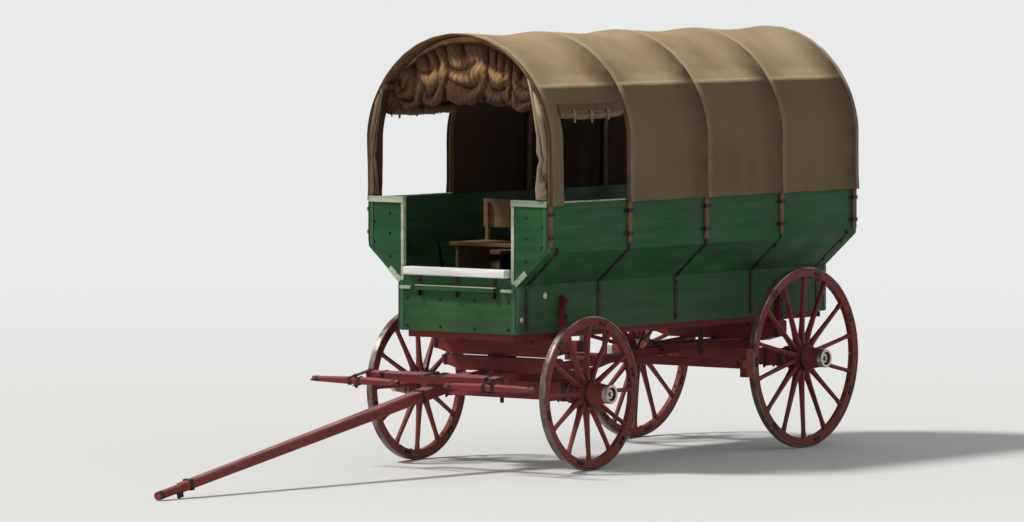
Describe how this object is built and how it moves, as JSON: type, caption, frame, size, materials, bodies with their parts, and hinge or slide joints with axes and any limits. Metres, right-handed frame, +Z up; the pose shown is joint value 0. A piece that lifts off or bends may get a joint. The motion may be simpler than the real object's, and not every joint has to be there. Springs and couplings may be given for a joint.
{
  "type": "covered wagon",
  "caption": "Horse-drawn covered wagon: canvas cover on bows over a flared box with benches, spoked wooden wheels, steering front axle, and a tongue with doubletree.",
  "frame": {"origin": "on the ground, in the middle of the whole wagon and its tongue", "axes": "+Y to the rear, +X to the wagon's left, +Z up"},
  "size_m": [1.942, 6.871, 3.0198],
  "materials": {
    "green_painted_board": "satin",
    "red_painted_timber": "satin",
    "tan_canvas": "matte",
    "rolled_canvas": "matte",
    "bow_ash": "satin",
    "bench_board": "satin",
    "pale_board": "matte",
    "black_iron": "satin",
    "tyre_iron": "worn"
  },
  "bodies": {
    "wagon": {"box_floor": "green_painted_board", "sills": "red_painted_timber", "left_lower_side": "green_painted_board", "right_lower_side": "green_painted_board", "left_flare_board": "green_painted_board", "right_flare_board": "green_painted_board", "left_upper_side": "green_painted_board", "right_upper_side": "green_painted_board", "front_end_panels": "green_painted_board", "rear_end_panels": "green_painted_board", "front_board": "green_painted_board", "dash_rail": "pale_board", "tailgate_rod": "black_iron", "left_bench": "bench_board", "right_bench": "bench_board", "driver_seat": "bench_board", "bow_1": "bow_ash", "bow_2": "bow_ash", "bow_3": "bow_ash", "bow_4": "bow_ash", "bow_5": "bow_ash", "stringers": "bow_ash", "cover_roof": "tan_canvas", "cover_left_eave": "tan_canvas", "cover_right_eave": "tan_canvas", "cover_left_side": "tan_canvas", "cover_right_side": "tan_canvas", "front_flap": "rolled_canvas", "rear_flap": "rolled_canvas", "front_bolster": "red_painted_timber", "rear_bolster": "red_painted_timber", "kingbolt": "black_iron", "reach": "red_painted_timber", "rear_hounds": "red_painted_timber", "rear_axle": "red_painted_timber", "rear_wheel_arms": "black_iron", "brake_beam": "red_painted_timber", "brake_lever": "black_iron"},
    "tailgate": {"tailgate": "green_painted_board"},
    "front_gear": {"front_axle": "red_painted_timber", "front_wheel_arms": "black_iron", "sand_board": "red_painted_timber", "front_hounds": "red_painted_timber", "tongue_pin": "black_iron"},
    "pole": {"tongue": "red_painted_timber", "hammer_pin": "black_iron"},
    "evener": {"doubletree": "red_painted_timber"},
    "left_swingle": {"left_singletree": "red_painted_timber"},
    "right_swingle": {"right_singletree": "red_painted_timber"},
    "front_left_wheel": {"front_left_wheel": "red_painted_timber", "front_left_tyre": "tyre_iron"},
    "front_right_wheel": {"front_right_wheel": "red_painted_timber", "front_right_tyre": "tyre_iron"},
    "rear_left_wheel": {"rear_left_wheel": "red_painted_timber", "rear_left_tyre": "tyre_iron"},
    "rear_right_wheel": {"rear_right_wheel": "red_painted_timber", "rear_right_tyre": "tyre_iron"}
  },
  "joints": [
    {"name": "steering", "type": "hinge", "parent": "wagon", "child": "front_gear", "pos_m": [0, 0.24699, 0.535], "axis": [0, 0, 1], "range_deg": [-22, 22]},
    {"name": "tongue_lift", "type": "hinge", "parent": "front_gear", "child": "pole", "pos_m": [0, -0.17302, 0.625], "axis": [-1, 0, 0], "range_deg": [0, 40]},
    {"name": "doubletree_swing", "type": "hinge", "parent": "pole", "child": "evener", "pos_m": [0, -0.48145, 0.6436], "axis": [0, -0.1806, 0.9836], "range_deg": [-15, 15]},
    {"name": "left_singletree_swing", "type": "hinge", "parent": "evener", "child": "left_swingle", "pos_m": [0.59, -0.64373, 0.6138], "axis": [0, 0.1806, -0.9836], "range_deg": [-15, 15]},
    {"name": "right_singletree_swing", "type": "hinge", "parent": "evener", "child": "right_swingle", "pos_m": [-0.59, -0.64373, 0.6138], "axis": [0, 0.1806, -0.9836], "range_deg": [-15, 15]},
    {"name": "front_left_wheel_spin", "type": "hinge", "parent": "front_gear", "child": "front_left_wheel", "pos_m": [0.762, 0.24699, 0.535], "axis": [1, 0, 0], "continuous": true},
    {"name": "front_right_wheel_spin", "type": "hinge", "parent": "front_gear", "child": "front_right_wheel", "pos_m": [-0.762, 0.24699, 0.535], "axis": [1, 0, 0], "continuous": true},
    {"name": "rear_left_wheel_spin", "type": "hinge", "parent": "wagon", "child": "rear_left_wheel", "pos_m": [0.762, 2.79698, 0.65], "axis": [1, 0, 0], "continuous": true},
    {"name": "rear_right_wheel_spin", "type": "hinge", "parent": "wagon", "child": "rear_right_wheel", "pos_m": [-0.762, 2.79698, 0.65], "axis": [1, 0, 0], "continuous": true},
    {"name": "tailgate_hinge", "type": "hinge", "parent": "wagon", "child": "tailgate", "pos_m": [0, 3.41398, 0.94], "axis": [-1, 0, 0], "range_deg": [0, 180]}
  ]
}
